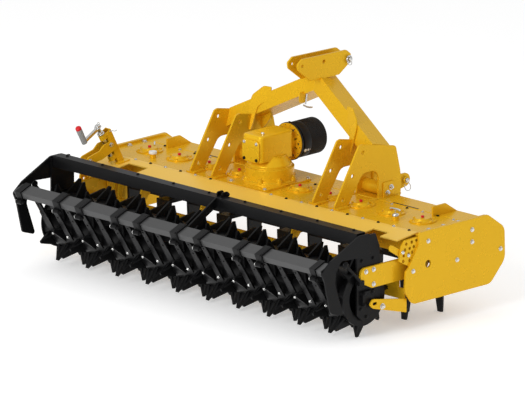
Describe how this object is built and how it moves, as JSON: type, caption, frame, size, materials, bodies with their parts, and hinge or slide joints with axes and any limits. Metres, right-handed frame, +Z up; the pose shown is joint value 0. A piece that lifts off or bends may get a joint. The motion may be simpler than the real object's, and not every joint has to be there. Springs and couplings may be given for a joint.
{
  "type": "power harrow",
  "caption": "Mounted power harrow with vertical rotors of knife tines, three-point headstock, gearbox, levelling bar, and a toothed packer roller with scrapers on hinged arms.",
  "frame": {"origin": "centre of the bounding box's foot, on the ground under the machine", "axes": "+X to the machine's right, +Y the way it drives, +Z up"},
  "size_m": [2.666, 1.4911, 1.3158],
  "materials": {
    "yellow_paint": "golden yellow gloss enamel",
    "black_paint": "satin black enamel",
    "zinc_steel": "zinc plated",
    "black_plastic": "moulded black guard",
    "scraper_steel": "dark rolled steel",
    "tine_steel": "black dipped forgings"
  },
  "bodies": {
    "harrow": {"trough": "yellow_paint", "deck_plate": "yellow_paint", "front_beam": "yellow_paint", "front_gussets": "yellow_paint", "rear_strip": "yellow_paint", "bearing_caps": "yellow_paint", "side_plate_left": "yellow_paint", "side_plate_right": "yellow_paint", "stop_plates": "yellow_paint", "headstock_left": "yellow_paint", "headstock_right": "yellow_paint", "hitch_bosses": "yellow_paint", "hitch_lugs": "yellow_paint", "hitch_pins": "zinc_steel", "mast_tube_left": "yellow_paint", "mast_tube_right": "yellow_paint", "mast_head": "yellow_paint", "top_link_pin": "zinc_steel", "gearbox_base": "yellow_paint", "gearbox_body": "yellow_paint", "gearbox_cover": "yellow_paint", "pto_flange": "yellow_paint", "pto_guard": "black_plastic", "crank_tube": "yellow_paint", "crank_yoke": "yellow_paint", "crank_spindle": "zinc_steel", "mast_gussets": "yellow_paint", "bar_guides": "yellow_paint", "arm_pivots": "zinc_steel"},
    "levelling": {"levelling_bar": "yellow_paint", "bar_wings": "yellow_paint", "bar_hangers": "yellow_paint", "bar_tabs": "yellow_paint"},
    "roller_frame": {"arm_left": "yellow_paint", "arm_right": "yellow_paint", "roller_end_plates": "black_paint", "roller_beam": "black_paint", "end_struts": "black_paint", "mid_strut": "black_paint", "scraper_bar": "black_paint", "scraper_carrier": "black_paint", "scrapers": "scraper_steel", "scraper_clamps": "black_paint"},
    "roller": {"roller_drum": "black_paint", "roller_flanges": "black_paint", "roller_teeth": "black_paint"},
    "input_shaft": {"pto_shaft": "zinc_steel"},
    "rotor_01_body": {"rotor_01": "tine_steel"},
    "rotor_02_body": {"rotor_02": "tine_steel"},
    "rotor_03_body": {"rotor_03": "tine_steel"},
    "rotor_04_body": {"rotor_04": "tine_steel"},
    "rotor_05_body": {"rotor_05": "tine_steel"},
    "rotor_06_body": {"rotor_06": "tine_steel"},
    "rotor_07_body": {"rotor_07": "tine_steel"},
    "rotor_08_body": {"rotor_08": "tine_steel"},
    "rotor_09_body": {"rotor_09": "tine_steel"},
    "rotor_10_body": {"rotor_10": "tine_steel"}
  },
  "joints": [
    {"name": "roller_frame_pivot", "type": "hinge", "parent": "harrow", "child": "roller_frame", "pos_m": [0, 0.078, 0.382], "axis": [1, 0, 0], "range_deg": [0, 8]},
    {"name": "roller_spin", "type": "hinge", "parent": "roller_frame", "child": "roller", "pos_m": [0, -0.361, 0.25], "axis": [1, 0, 0], "continuous": true},
    {"name": "levelling_slide", "type": "slide", "parent": "harrow", "child": "levelling", "axis": [0, 0, 1], "range_m": [-0.05, 0.01]},
    {"name": "input_spin", "type": "hinge", "parent": "harrow", "child": "input_shaft", "pos_m": [-0.125, 0.494, 0.78], "axis": [0, 1, 0], "continuous": true},
    {"name": "rotor_01_spin", "type": "hinge", "parent": "harrow", "child": "rotor_01_body", "pos_m": [-1.125, 0.244, 0.3], "axis": [0, 0, 1], "continuous": true},
    {"name": "rotor_02_spin", "type": "hinge", "parent": "harrow", "child": "rotor_02_body", "pos_m": [-0.875, 0.244, 0.3], "axis": [0, 0, 1], "continuous": true},
    {"name": "rotor_03_spin", "type": "hinge", "parent": "harrow", "child": "rotor_03_body", "pos_m": [-0.625, 0.244, 0.3], "axis": [0, 0, 1], "continuous": true},
    {"name": "rotor_04_spin", "type": "hinge", "parent": "harrow", "child": "rotor_04_body", "pos_m": [-0.375, 0.244, 0.3], "axis": [0, 0, 1], "continuous": true},
    {"name": "rotor_05_spin", "type": "hinge", "parent": "harrow", "child": "rotor_05_body", "pos_m": [-0.125, 0.244, 0.3], "axis": [0, 0, 1], "continuous": true},
    {"name": "rotor_06_spin", "type": "hinge", "parent": "harrow", "child": "rotor_06_body", "pos_m": [0.125, 0.244, 0.3], "axis": [0, 0, 1], "continuous": true},
    {"name": "rotor_07_spin", "type": "hinge", "parent": "harrow", "child": "rotor_07_body", "pos_m": [0.375, 0.244, 0.3], "axis": [0, 0, 1], "continuous": true},
    {"name": "rotor_08_spin", "type": "hinge", "parent": "harrow", "child": "rotor_08_body", "pos_m": [0.625, 0.244, 0.3], "axis": [0, 0, 1], "continuous": true},
    {"name": "rotor_09_spin", "type": "hinge", "parent": "harrow", "child": "rotor_09_body", "pos_m": [0.875, 0.244, 0.3], "axis": [0, 0, 1], "continuous": true},
    {"name": "rotor_10_spin", "type": "hinge", "parent": "harrow", "child": "rotor_10_body", "pos_m": [1.125, 0.244, 0.3], "axis": [0, 0, 1], "continuous": true}
  ],
  "couplings": [
    {"joint": "rotor_02_spin", "follows": "rotor_01_spin", "ratio": -1},
    {"joint": "rotor_03_spin", "follows": "rotor_01_spin", "ratio": 1},
    {"joint": "rotor_04_spin", "follows": "rotor_01_spin", "ratio": -1},
    {"joint": "rotor_05_spin", "follows": "rotor_01_spin", "ratio": 1},
    {"joint": "rotor_06_spin", "follows": "rotor_01_spin", "ratio": -1},
    {"joint": "rotor_07_spin", "follows": "rotor_01_spin", "ratio": 1},
    {"joint": "rotor_08_spin", "follows": "rotor_01_spin", "ratio": -1},
    {"joint": "rotor_09_spin", "follows": "rotor_01_spin", "ratio": 1},
    {"joint": "rotor_10_spin", "follows": "rotor_01_spin", "ratio": -1},
    {"joint": "input_spin", "follows": "rotor_01_spin", "ratio": 3}
  ]
}
